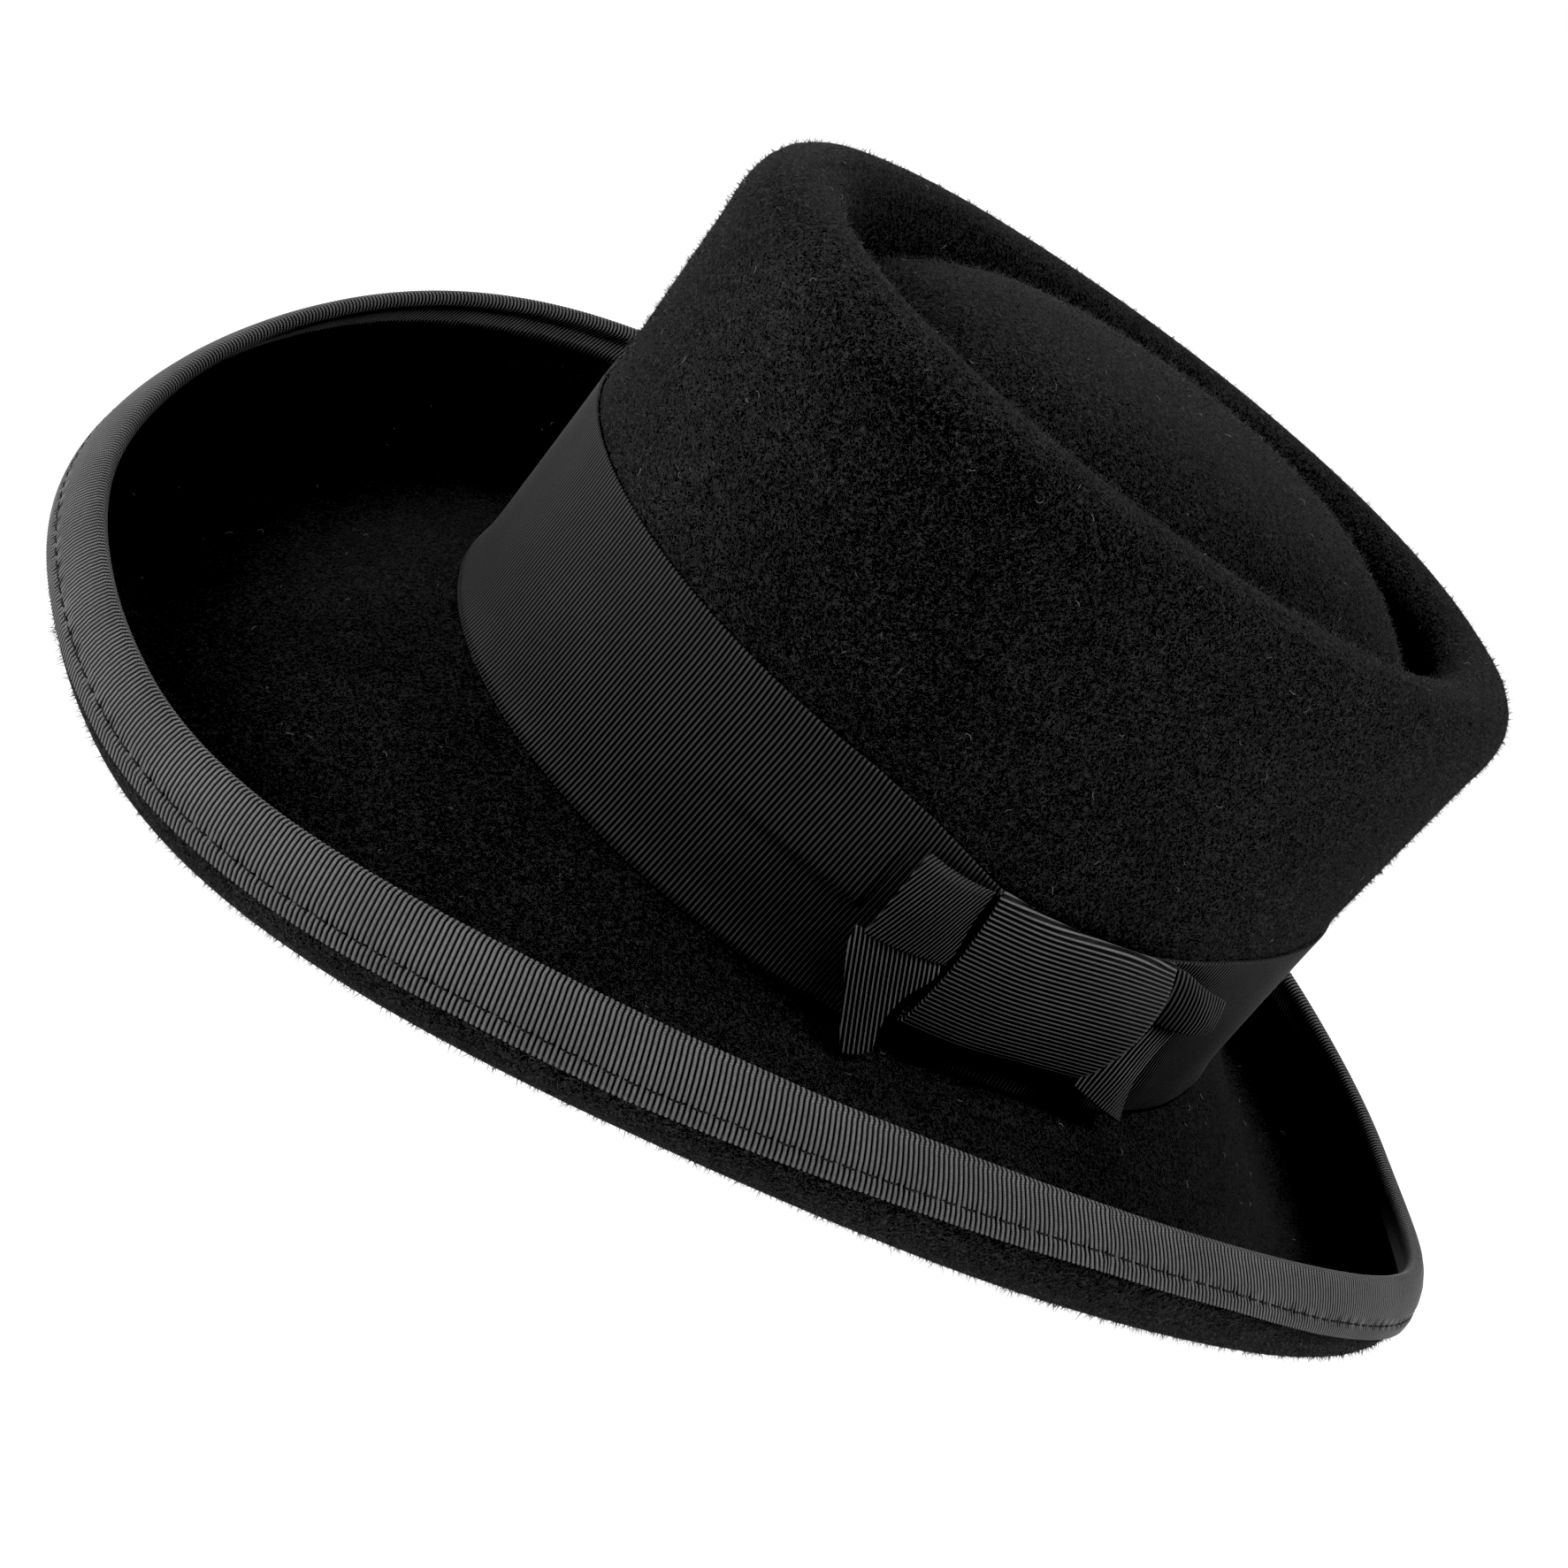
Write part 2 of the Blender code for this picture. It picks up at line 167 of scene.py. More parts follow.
def oval(phi, side, end, power):
    """Points of a rounded oval, and its outward directions."""
    cosine, sine = np.cos(phi), np.sin(phi)
    x = np.sign(cosine) * np.abs(cosine) ** (2 / power)
    y = np.sign(sine) * np.abs(sine) ** (2 / power)
    out_x = np.sign(cosine) * np.abs(x) ** (power - 1) / side
    out_y = np.sign(sine) * np.abs(y) ** (power - 1) / end
    length = np.hypot(out_x, out_y)
    return side * x, end * y, out_x / length, out_y / length


def ring(phi, side, end, shift, height, power=2.0, out=0.0):
    """A ring of the crown: an oval, pushed outwards, leaned with the crown and set on the brim."""
    x, y, out_x, out_y = oval(phi, side, end, power)
    x, y = x + out * out_x, y + out * out_y
    share = np.maximum(height, 0.0) / CROWN_HEIGHT
    z = END_DROP + height - CROWN_LEAN * share ** 2 * y / TOP_END
    x, y, z = np.broadcast_arrays(x, y + shift + CROWN_MIDDLE, z)
    return np.stack([x, y, z], -1)


def wall(phi, height, out=0.0):
    """Points of the crown's wall at a height, pushed out from the felt's outer face."""
    side = wall_value(height, BASE_SIDE, MID_SIDE, TOP_SIDE)
    end = wall_value(height, BASE_END, MID_END, TOP_END)
    shift = wall_value(height, 0.0, MID_SHIFT, TOP_SHIFT)
    power = wall_value(height, 2.0, 2.0, TOP_SQUARENESS)
    return ring(phi, side, end, shift, height, power, out)


def around_value(phi, values):
    """A size of the curl between its values at the sides, the front and the back."""
    ends = np.where(np.sin(phi) < 0, values[1], values[2])
    return values[0] + (ends - values[0]) * np.sin(phi) ** 2


def around_table(phi, table):
    """A size read from a table of plan angles in degrees, held at its ends."""
    columns = np.array(table)
    degrees = np.degrees((phi + math.pi) % (2 * math.pi) - math.pi)
    return np.interp(degrees, columns[:, 0], columns[:, 1])


# How far the free edge sags where hands pressed it, in metres along the felt
EDGE_SAG = (
    # plan angle in degrees, sag
    (-52, 0.0), (-40, 0.0003), (-30, 0.0011), (-20, 0.0015), (-10, 0.0008), (0, 0.0002), (8, 0.0),
)
# The binding's cover, which the seam lets wander a little
COVER = (
    # plan angle in degrees, cover
    (-90, 0.0124), (-70, 0.0130), (-55, 0.0136), (-30, 0.0134), (-20, 0.0118), (-10, 0.0108),
    (0, 0.0098), (10, 0.0101), (20, 0.0114), (32, 0.0122), (45, 0.0130), (60, 0.0124),
)
# How far the binding's ribs lean towards the front as they cross it, where the sewing pulled them
RIB_LEAN = (
    # plan angle in degrees, lean for each metre across
    (-120, 0.0), (-80, 0.30), (-60, 0.30), (-40, 0.26), (-30, 0.33), (-20, 0.40), (-10, 0.55), (0, 0.72),
    (12, 0.78), (35, 0.4), (60, 0.0),
)


def edge_turn(phi):
    """The curl's last angle, at the felt's free edge."""
    return around_value(phi, CURL_TURN) - around_table(phi, EDGE_SAG) / around_value(phi, CURL_RADIUS)


def curl_start(phi):
    """The line where the brim's underside starts to curl, and its outward directions."""
    from_side = np.arcsin(np.minimum(np.abs(np.sin(phi)), 1.0))
    share = np.minimum(from_side / (math.pi / 2 - FOOT_ANGLE), 1.0)
    drop = SIDE_DROP + (END_DROP - SIDE_DROP) * np.sin(math.pi / 2 * share) ** DROP_FULLNESS
    x, y, out_x, out_y = oval(phi, BRIM_SIDE, BRIM_END, BRIM_SQUARENESS)
    y = y + (CURL_RADIUS[1] - CURL_RADIUS[2]) / 2
    return x * (1 + BRIM_EGG * np.sin(phi)), y, END_DROP - drop, out_x, out_y


def curl_point(phi, turn, radius):
    """Points of the curl: at an angle round its middle and a distance from it."""
    x, y, z, out_x, out_y = curl_start(phi)
    reach = radius * np.sin(turn)
    rise = around_value(phi, CURL_RADIUS) - radius * np.cos(turn)
    return np.stack([x + out_x * reach, y + out_y * reach, z + rise], -1)


def smooth(rows, at, knots=None):
    """Rows read at any places on smooth curves through the given rows."""
    rows = np.asarray(rows, float)
    knots = np.arange(len(rows), dtype=float) if knots is None else knots
    gaps = np.diff(knots)
    gaps = gaps.reshape(-1, *[1] * (rows.ndim - 1))
    slopes = np.diff(rows, axis=0) / gaps
    inner = (slopes[:-1] * gaps[1:] + slopes[1:] * gaps[:-1]) / (gaps[:-1] + gaps[1:])
    tangents = np.concatenate([slopes[:1], inner, slopes[-1:]])
    low = np.clip(np.searchsorted(knots, at, side="right") - 1, 0, len(rows) - 2)
    gap = gaps[low]
    share = ((at - knots[low]) / np.diff(knots)[low]).reshape(gap.shape)
    value = rows[low] * (2 * share ** 3 - 3 * share ** 2 + 1)
    value = value + rows[low + 1] * (3 * share ** 2 - 2 * share ** 3)
    value = value + tangents[low] * gap * (share ** 3 - 2 * share ** 2 + share)
    return value + tangents[low + 1] * gap * (share ** 3 - share ** 2)


def spread(rows, step):
    """Rows filled in so that no two lie further apart than a step."""
    gaps = np.linalg.norm(np.diff(rows, axis=0), axis=-1).mean(1)
    knots = np.concatenate([[0.0], np.cumsum(gaps)])
    places = [0.0]
    for number, gap in enumerate(gaps):
        parts = max(int(math.ceil(gap / step)), 1)
        places += list(knots[number] + gap * np.arange(1, parts + 1) / parts)
    return smooth(rows, np.array(places), knots), np.searchsorted(places, knots - 1e-9)


def directions(grid, around):
    """Unit directions out of a grid's face."""
    if around:
        along = np.roll(grid, -1, 1) - np.roll(grid, 1, 1)
    else:
        along = np.gradient(grid, axis=1)
    out = np.cross(np.gradient(grid, axis=0), along)
    return out / np.maximum(np.linalg.norm(out, axis=-1, keepdims=True), 1e-12)


def make_mesh(name, points, faces, finish, weave=None):
    """An object from points and arrays of faces, with the weave's coordinates at each corner."""
    corners = np.concatenate([part.ravel() for part in faces]).astype(np.int32)
    sizes = np.concatenate([np.full(len(part), part.shape[1]) for part in faces])
    mesh = bpy.data.meshes.new(name)
    mesh.vertices.add(len(points))
    mesh.vertices.foreach_set("co", np.asarray(points, np.float32).ravel())
    mesh.loops.add(len(corners))
    mesh.loops.foreach_set("vertex_index", corners)
    mesh.polygons.add(len(sizes))
    mesh.polygons.foreach_set("loop_start", np.concatenate([[0], np.cumsum(sizes)[:-1]]).astype(np.int32))
    if weave is not None:
        layer = mesh.uv_layers.new(name="weave")
        layer.data.foreach_set("uv", np.asarray(weave, np.float32).ravel())
    mesh.update(calc_edges=True)
    mesh.shade_smooth()
    mesh.materials.append(finish)
    made = bpy.data.objects.new(name, mesh)
    bpy.context.scene.collection.objects.link(made)
    return made


def volume(points, quads):
    """Six times the volume that quads close in, negative where they face inwards."""
    a, b, c, d = (points[quads[:, corner]] for corner in range(4))
    return (np.cross(b - a, c - a) * a).sum() + (np.cross(c - a, d - a) * a).sum()


def loop_shell(name, loops, phase, across, around, finish):
    """A closed body whose sections are loops of points: loops by columns, with its weave."""
    count, columns = loops.shape[:2]
    points = loops.reshape(-1, 3)
    row = np.repeat(np.arange(count), columns if around else columns - 1)
    column = np.tile(np.arange(columns if around else columns - 1), count)
    after_row, after = (row + 1) % count, (column + 1) % columns
    quads = np.stack([row * columns + column, after_row * columns + column,
                      after_row * columns + after, row * columns + after], -1)
    step = column + 1
    weave = np.stack([
        np.stack([phase[row, column], across[row, column]], -1),
        np.stack([phase[after_row, column], across[after_row, column]], -1),
        np.stack([phase[after_row, step], across[after_row, step]], -1),
        np.stack([phase[row, step], across[row, step]], -1)], 1)
    faces, weaves = [quads], [weave.reshape(-1, 2)]
    if not around:
        half = np.arange(count // 2 - 1)
        for column, turn in ((0, 1), (columns - 1, -1)):
            ends = np.stack([half, count - 1 - half, count - 2 - half, half + 1], -1)[:, ::turn]
            faces.append(ends * columns + column)
            weaves.append(np.stack([phase[ends, column], across[ends, column]], -1).reshape(-1, 2))
    if volume(points, np.concatenate(faces)) < 0:
        faces = [part[:, ::-1] for part in faces]
        weaves = [part.reshape(-1, 4, 2)[:, ::-1].reshape(-1, 2) for part in weaves]
    return make_mesh(name, points, faces, finish, np.concatenate(weaves))


def rib(phase):
    """Height of a rib's rounded back, from the groove at each whole number to one half way."""
    return np.sqrt(np.abs(np.sin(math.pi * phase)))


def crown_rings(phi):
    """The crown's inner face from the dome's outermost ring out and down to the head opening."""
    floor = CROWN_HEIGHT - GROOVE_DEPTH - FELT
    rings = []
    for share in (0.04, 0.15, 0.28, 0.40, 0.52, 0.63, 0.73, 0.82, 0.90, 0.96, 1.0):
        height = floor + DOME_RISE * (1 - share ** DOME_FULLNESS)
        rings.append(ring(phi, DOME_SIDE * share, DOME_END * share, TOP_SHIFT, height, TOP_SQUARENESS))
    rings.append(ring(phi, DOME_SIDE, DOME_END, TOP_SHIFT, floor, TOP_SQUARENESS, GROOVE_FLOOR))
    roll = RIM_RADIUS - FELT
    for degrees in range(180, 0, -20):
        turn = math.radians(degrees)
        height = CROWN_HEIGHT - RIM_RADIUS + roll * math.sin(turn)
        rings.append(ring(phi, TOP_SIDE - RIM_RADIUS, TOP_END - RIM_RADIUS, TOP_SHIFT, height,
                          TOP_SQUARENESS, roll * math.cos(turn)))
    for share in (1.0, 0.9, 0.8, 0.7, 0.6, 0.52, 0.45, 0.36, 0.25, 0.12, 0.04):
        rings.append(wall(phi, share * (CROWN_HEIGHT - RIM_RADIUS), -FELT))
    return rings


def brim_rings(phi):
    """The brim's underside from the head opening to where its edge starts to curl."""
    rings = []
    for degrees in (22, 42, 62):
        turn = math.radians(degrees)
        down = BREAK_RADIUS - FELT - BRIM_CLEAR - BREAK_RADIUS * math.sin(turn)
        rings.append(wall(phi, 0.0, -FELT + BREAK_RADIUS * (1 - math.cos(turn))) + (0, 0, down))
    first = rings[-1]
    x, y, z, out_x, out_y = curl_start(phi)
    foot = np.stack([x - out_x * FOOT_WIDTH, y - out_y * FOOT_WIDTH, z], -1)
    for share in (0.12, 0.25, 0.5, 0.75, 0.88):
        point = first + (foot - first) * share
        fall = share + share ** 2 - share ** 3
        point[:, 2] = first[:, 2] + (foot[:, 2] - first[:, 2]) * fall
        rings.append(point)
    return rings + [foot, np.stack([x, y, z], -1)]


def felt_grid():
    """The felt's inner face: rings from the dome's middle to the brim's edge."""
    phi = np.arange(FELT_COLUMNS) * 2 * math.pi / FELT_COLUMNS
    radius = around_value(phi, CURL_RADIUS)
    last = edge_turn(phi) - FOLD_SLACK / radius
    crown = crown_rings(phi)
    rings = crown + brim_rings(phi)
    for share in np.linspace(0, 1, 12)[1:]:
        rings.append(curl_point(phi, last * share, radius))
    grid, rows = spread(np.array(rings), FELT_STEP)
    return grid, rows[len(crown) - 1]


def felt_body(crown, dish, under):
    """Crown and brim, one piece of felt with both its faces, in a finish for each of three zones: the dish
    darker as painted shade, the underside paler as painted light.
    """
    inner, crown_end = felt_grid()
    out = directions(inner, True)
    if out[0, 0, 2] < 0:
        out = -out
    outer = inner + out * FELT
    loops = np.concatenate([outer, inner[::-1]])
    count, columns = loops.shape[:2]
    points = np.concatenate([loops.reshape(-1, 3), outer[0].mean(0)[None], inner[0].mean(0)[None]])
    row = np.repeat(np.arange(count - 1), columns)
    column = np.tile(np.arange(columns), count - 1)
    after = (column + 1) % columns
    quads = np.stack([row * columns + column, (row + 1) * columns + column,
                      (row + 1) * columns + after, row * columns + after], -1)
    column = np.arange(columns)
    after = (column + 1) % columns
    top = np.stack([np.full(columns, count * columns), column, after], -1)
    end = (count - 1) * columns
    bottom = np.stack([np.full(columns, count * columns + 1), end + after, end + column], -1)
    made = make_mesh("felt_crown_and_brim", points, [quads, top, bottom], crown)
    made.data.materials.append(dish)
    made.data.materials.append(under)
    # zone 1 carries the dish's painted shade, zone 2 the underside's painted light
    zone = np.where(row < crown_end, 0, np.where(row < len(outer), 1, 2))
    zone = np.concatenate([zone, np.full(columns, 0), np.full(columns, 2)])
    made.data.polygons.foreach_set("material_index", zone.astype(np.int32))
    return made, outer, inner, out, crown_end


def evenly(line, pitch):
    """Lengths along a closed line up to each of its points, and its whole number of ribs."""
    closed = np.concatenate([line, line[:1]])
    lengths = np.concatenate([[0.0], np.cumsum(np.linalg.norm(np.diff(closed, axis=0), axis=-1))])
    return lengths, max(int(round(lengths[-1] / pitch)), 1)


def even_angles(line_at, pitch, per_rib):
    """Plan angles that are evenly spaced along a line round the hat, with its ribs and its length."""
    phi = np.linspace(0, 2 * math.pi, 4001)
    lengths, ribs = evenly(line_at(phi[:-1]), pitch)
    columns = ribs * per_rib
    return np.interp(np.arange(columns) / columns * lengths[-1], lengths, phi), ribs, lengths[-1]


def band_shell(name, face, across, phase, finish, press, back_rows):
    """A ribbon that closes round the hat: ribbed in front, plain behind."""
    out = -directions(face, True)
    lump = rib(phase)[None, :] * RIB_HEIGHT - press
    down = face[1] - face[0]
    up = face[-1] - face[-2]
    edge = rib(phase)[:, None] * RIB_END
    front = face + out * (RIBBON + lump)[..., None]
    front[0] -= down / np.linalg.norm(down, axis=-1, keepdims=True) * edge
    front[-1] += up / np.linalg.norm(up, axis=-1, keepdims=True) * edge
    places = np.array([round(share * (len(face) - 1)) for share in back_rows])[::-1]
    loops = np.concatenate([front, face[places]])
    across = np.broadcast_to(across, face.shape[:2])
    rows = np.concatenate([across, across[places]]) / THREAD_PITCH
    closed = np.append(phase, phase[-1] + phase[1] - phase[0])
    phases = np.broadcast_to(closed, (len(loops), len(closed)))
    return loop_shell(name, loops, phases, np.concatenate([rows, rows[:, :1]], 1), True, finish)


# A direction that no thread or hair follows
OFF_PATH = (0.31, 0.52, 0.80)


def tubes(name, paths, radius, sides, finish):
    """Thin closed tubes along paths, all in one body, with flat ends."""
    count, steps = paths.shape[:2]
    ahead = np.gradient(paths, axis=1)
    ahead /= np.linalg.norm(ahead, axis=-1, keepdims=True)
    side = np.cross(ahead, OFF_PATH)
    side /= np.linalg.norm(side, axis=-1, keepdims=True)
    other = np.cross(ahead, side)
    turn = np.arange(sides) * 2 * math.pi / sides
    circle = side[:, :, None] * np.cos(turn)[:, None] + other[:, :, None] * np.sin(turn)[:, None]
    points = (paths[:, :, None] + circle * radius).reshape(-1, 3)
    start = (np.arange(count) * steps * sides)[:, None, None]
    step = (np.arange(steps - 1) * sides)[None, :, None]
    spot = np.arange(sides)[None, None, :]
    after = (spot + 1) % sides
    near, far = start + step, start + step + sides
    quads = np.stack(np.broadcast_arrays(near + spot, near + after, far + after, far + spot), -1)
    first = start[:, 0] + np.arange(sides)[None, ::-1]
    last = start[:, 0] + (steps - 1) * sides + np.arange(sides)[None, :]
    return make_mesh(name, points, [quads.reshape(-1, 4), first, last], finish)


def brim_binding(finish):
    """Ribbon folded in half round the brim's edge, ribbed across, with a pressed seam."""
    def middle_line(phi):
        radius = around_value(phi, CURL_RADIUS)
        return curl_point(phi, edge_turn(phi) - BINDING_COVER / 2 / radius, radius)

    phi, ribs, length = even_angles(middle_line, BINDING_PITCH, BINDING_COLUMNS_PER_RIB)
    turn_per_metre = np.gradient(phi) * len(phi) / length
    lean = around_table(phi, RIB_LEAN) * turn_per_metre

    def leaned(reach):
        """Plan angles, radius and edge angle where the ribs are after crossing the ribbon so far."""
        at = phi - lean * (reach - BINDING_COVER / 2)
        return at, around_value(at, CURL_RADIUS), edge_turn(at)

    cover = around_table(phi, COVER)
    fold = FELT / 2 + SNUG
    rows, across = [], []
    fixed = list(BINDING_EDGE_ROWS) + [SEAM_INSET + row for row in SEAM_ROWS]
    insets = [np.full(len(phi), inset) for inset in fixed]
    insets += [fixed[-1] + (cover - fixed[-1]) * share for share in PAST_SEAM_SHARES]
    for inset in insets:
        at, radius, last = leaned(inset)
        rows.append(curl_point(at, last - (cover - inset) / radius, radius + SNUG))
        across.append(inset)
    at, radius, last = leaned(cover)
    for degrees in FOLD_DEGREES:
        turn = math.radians(degrees)
        rows.append(curl_point(at, last + fold * math.sin(turn) / radius,
                               radius - FELT / 2 + fold * math.cos(turn)))
        across.append(cover + fold * turn)
    for reach in INSIDE_ROWS:
        rows.append(curl_point(at, last - reach / radius, radius - FELT - SNUG))
        across.append(cover + fold * math.pi + reach)
    face, across = np.array(rows), np.array(across)
    phase = np.arange(len(phi)) / BINDING_COLUMNS_PER_RIB
    stitches = int(round(length / STITCH_PITCH))
    place = phase / ribs * stitches
    from_middle = np.abs(place - np.round(place)) * STITCH_PITCH
    near = np.exp(-((across - SEAM_INSET) / SEAM_HALF_WIDTH) ** 2)
    pits = np.exp(-((from_middle - STITCH_LENGTH / 2) / PIT_HALF_WIDTH) ** 2)
    puff = np.where(across < SEAM_INSET - PUFF_CLEAR, SEAM_PUFF, 0.0)
    press = near * (SEAM_PRESS + PIT_DEPTH * pits) - puff * rib(phase)
    made = band_shell("brim_ribbon", face, across, phase, finish, press, BINDING_BACK_ROWS)
    return made, np.interp(np.arange(stitches) * ribs / stitches, phase, leaned(SEAM_INSET)[0])


def seam_stitches(middles, finish):
    """Dark thread that shows as a dash at each stitch, with both its ends in their pits."""
    share = np.linspace(-1, 1, 7)
    half = STITCH_LENGTH / 2
    start = curl_point(middles, edge_turn(middles), around_value(middles, CURL_RADIUS))
    moved = curl_point(middles + 0.001, edge_turn(middles), around_value(middles, CURL_RADIUS))
    per_metre = 0.001 / np.linalg.norm(moved - start, axis=-1)
    phi = middles[:, None] + share * (half * per_metre)[:, None]
    radius = around_value(phi, CURL_RADIUS)
    reach = around_table(phi, COVER) - SEAM_INSET
    sunk = (PIT_DEPTH + 0.0001) * share ** 4
    stand = SNUG + RIBBON + RIB_HEIGHT - SEAM_PRESS - sunk
    paths = curl_point(phi, edge_turn(phi) - reach / radius, radius + stand)
    return tubes("seam_thread", paths, THREAD_RADIUS, 6, finish)


# Height of the band's top edge, as a share of BAND_HEIGHT, where the bow pinches it
BAND_TOP = (
    # plan angle in degrees, height
    (-34, 1.00), (-26, 0.972), (-20, 0.925), (-15, 0.88), (0, 0.85), (11, 0.90), (22, 0.96), (36, 1.00),
)
# Rows of the band: share of its height, and how much of the tuck each takes
BAND_ROWS = (
    (0.0, 0.0), (0.03, 0.0), (0.10, 0.0), (0.18, 0.0), (0.27, 0.0), (0.36, 0.02), (0.45, 0.05),
    (0.50, 0.06), (0.51, 0.75), (0.52, 1.0), (0.55, 1.0), (0.62, 0.85), (0.71, 0.60), (0.82, 0.32),
    (0.92, 0.10), (0.985, 0.0), (1.0, 0.0),
)
# How the tuck grows towards the bow, as a share of TUCK_DEPTH
TUCK = (
    # plan angle in degrees, depth
    (-48, 0.0), (-40, 0.30), (-32, 0.90), (-28, 1.0), (-27, 0.9), (-25.8, 0.0),
)
# Where the band stands off the felt behind the bow, in millimetres
PUFFS = (
    # distance along the band, height, half length, half height, stand
    (44.0, 9.0, 6.5, 5.0, 1.3), (60.0, 4.0, 9.0, 4.0, 0.9), (50.0, 20.0, 7.0, 3.0, -0.1),
)


def hat_band(finish):
    """Wide ribbon round the crown, with a tuck that grows towards the bow."""
    def middle_line(phi):
        return wall(phi, BAND_HEIGHT / 2)

    phi = even_angles(middle_line, BAND_PITCH, BAND_COLUMNS_PER_RIB)[0]
    along = ((phi + math.pi) % (2 * math.pi) - math.pi) * MID_END / MM
    top = around_table(phi, BAND_TOP)
    tuck = TUCK_DEPTH * around_table(phi, TUCK)
    rows = []
    for height_share, tuck_share in BAND_ROWS:
        height = BAND_HEIGHT * height_share * top
        flare = BAND_FLARE * np.maximum(1 - height / FLARE_HEIGHT, 0.0)
        stand = SNUG + flare + tuck * tuck_share
        for place, up, half_length, half_height, rise in PUFFS:
            from_place = ((along - place) / half_length) ** 2
            from_up = ((height / MM - up) / half_height) ** 2
            stand = stand + rise * MM * np.exp(-(from_place + from_up))
        rows.append(wall(phi, height, stand))
    across = np.array([[row[0]] for row in BAND_ROWS]) * BAND_HEIGHT
    phase = np.arange(len(phi)) / BAND_COLUMNS_PER_RIB
    return band_shell("hat_band_ribbon", np.array(rows), across, phase, finish, 0.0, BAND_BACK_ROWS)


def on_band(along, height, stand):
    """Points at a distance along the band, a height, and a clear stand off its outer face."""
    return wall(along / MID_END, height, BAND_FACE + stand)


def patch(name, table, columns_at, step, finish, ribs, pitch):
    """A piece of ribbon ribbed on both faces, from control rows of along, height and stand."""
    control = np.array(table)
    control = np.stack([smooth(row, columns_at) for row in control])
    lengths = np.linalg.norm(np.diff(control, axis=0), axis=-1).mean(1)
    places = [0.0]
    for number, gap in enumerate(lengths):
        parts = max(int(math.ceil(gap / step)), 1)
        places += list(number + np.arange(1, parts + 1) / parts)
    fine = smooth(control, np.array(places))
    middle = on_band(fine[..., 0], fine[..., 1], fine[..., 2])
    steps_down = np.linalg.norm(np.diff(middle, axis=0), axis=-1)
    steps_right = np.linalg.norm(np.diff(middle, axis=1), axis=-1)
    down = np.concatenate([np.zeros((1, middle.shape[1])), np.cumsum(steps_down, axis=0)])
    right = np.concatenate([np.zeros((middle.shape[0], 1)), np.cumsum(steps_right, axis=1)], 1)
    phase, across = ribs(fine, down, right, pitch)
    out = directions(middle, False)
    lump = rib(phase) * RIB_HEIGHT
    half = (RIBBON / 2 + lump)[..., None]
    loops = np.concatenate([middle + out * half, (middle - out * half)[::-1]])
    phases = np.concatenate([phase, phase[::-1]])
    acrosses = np.concatenate([across, across[::-1]]) / THREAD_PITCH
    return loop_shell(name, loops, phases, acrosses, False, finish)


# The bow in millimetres. Each row runs from the front of the hat to the back, in points of
# distance along the band, height on it and stand off it.
CENTRE = (
    ((-24.5, 10.5, 0.3), (-12, 11.5, 0.3), (1, 12.8, 0.3), (15, 13.2, 0.3)),
    ((-25.0, 7.8, 1.6), (-12, 9.0, 1.6), (1, 10.4, 1.6), (16, 11.0, 1.6)),
    ((-25.2, 8.0, 3.2), (-12, 9.2, 3.4), (1, 10.7, 3.2), (17, 11.2, 2.8)),
    ((-25.1, 13.2, 4.2), (-12, 14.0, 4.6), (2, 15.0, 4.4), (19.2, 15.4, 3.8)),
    ((-25.3, 24.0, 4.6), (-12, 24.2, 5.0), (3, 24.6, 4.8), (21.8, 24.6, 4.0)),
    ((-25.9, 33.5, 4.0), (-13, 33.8, 4.3), (3, 34.2, 4.0), (21.4, 34.6, 3.2)),
    ((-26.5, 41.2, 2.6), (-14, 41.0, 2.9), (2, 41.6, 2.8), (18.6, 42.2, 2.2)),
    ((-26.6, 43.0, 1.5), (-14, 42.6, 1.6), (2, 43.3, 1.6), (17.6, 44.0, 1.4)),
    ((-26.4, 42.2, 0.4), (-14, 42.0, 0.4), (2, 42.4, 0.4), (17.0, 43.0, 0.4)),
)
FRONT_UPPER = (
    ((-42.6, 41.6, 1.0), (-38.5, 41.4, 1.3), (-33.0, 41.4, 1.2), (-27.4, 42.0, 0.9)),
    ((-43.2, 39.5, 2.6), (-38.5, 39.4, 3.0), (-33.0, 39.5, 2.6), (-28.0, 40.0, 1.8)),
    ((-43.5, 33.0, 4.4), (-38.5, 33.4, 5.0), (-33.0, 33.8, 4.4), (-27.9, 34.2, 3.0)),
    ((-43.5, 27.0, 5.4), (-38.5, 27.6, 6.0), (-33.0, 28.2, 5.4), (-27.2, 28.8, 4.2)),
    ((-43.6, 22.4, 6.2), (-39.0, 23.1, 6.7), (-33.2, 24.1, 6.2), (-27.3, 24.8, 5.0)),
)
FRONT_LOWER = (
    ((-45.3, 22.2, 5.2), (-40.0, 23.2, 5.5), (-34.0, 24.3, 5.1), (-28.4, 25.0, 4.0)),
    ((-44.4, 18.4, 6.3), (-38.8, 19.6, 6.3), (-33.0, 20.8, 6.0), (-27.2, 22.0, 5.4)),
    ((-40.9, 12.2, 7.0), (-36.4, 13.0, 6.9), (-32.0, 14.0, 6.5), (-29.4, 14.8, 6.0)),
    ((-37.4, 6.0, 7.8), (-34.2, 6.8, 7.6), (-31.0, 7.8, 7.2), (-29.7, 8.6, 6.9)),
    ((-32.6, -1.5, 8.8), (-30.9, -0.8, 8.7), (-29.4, 0.1, 8.4), (-27.9, 1.6, 8.0)),
)
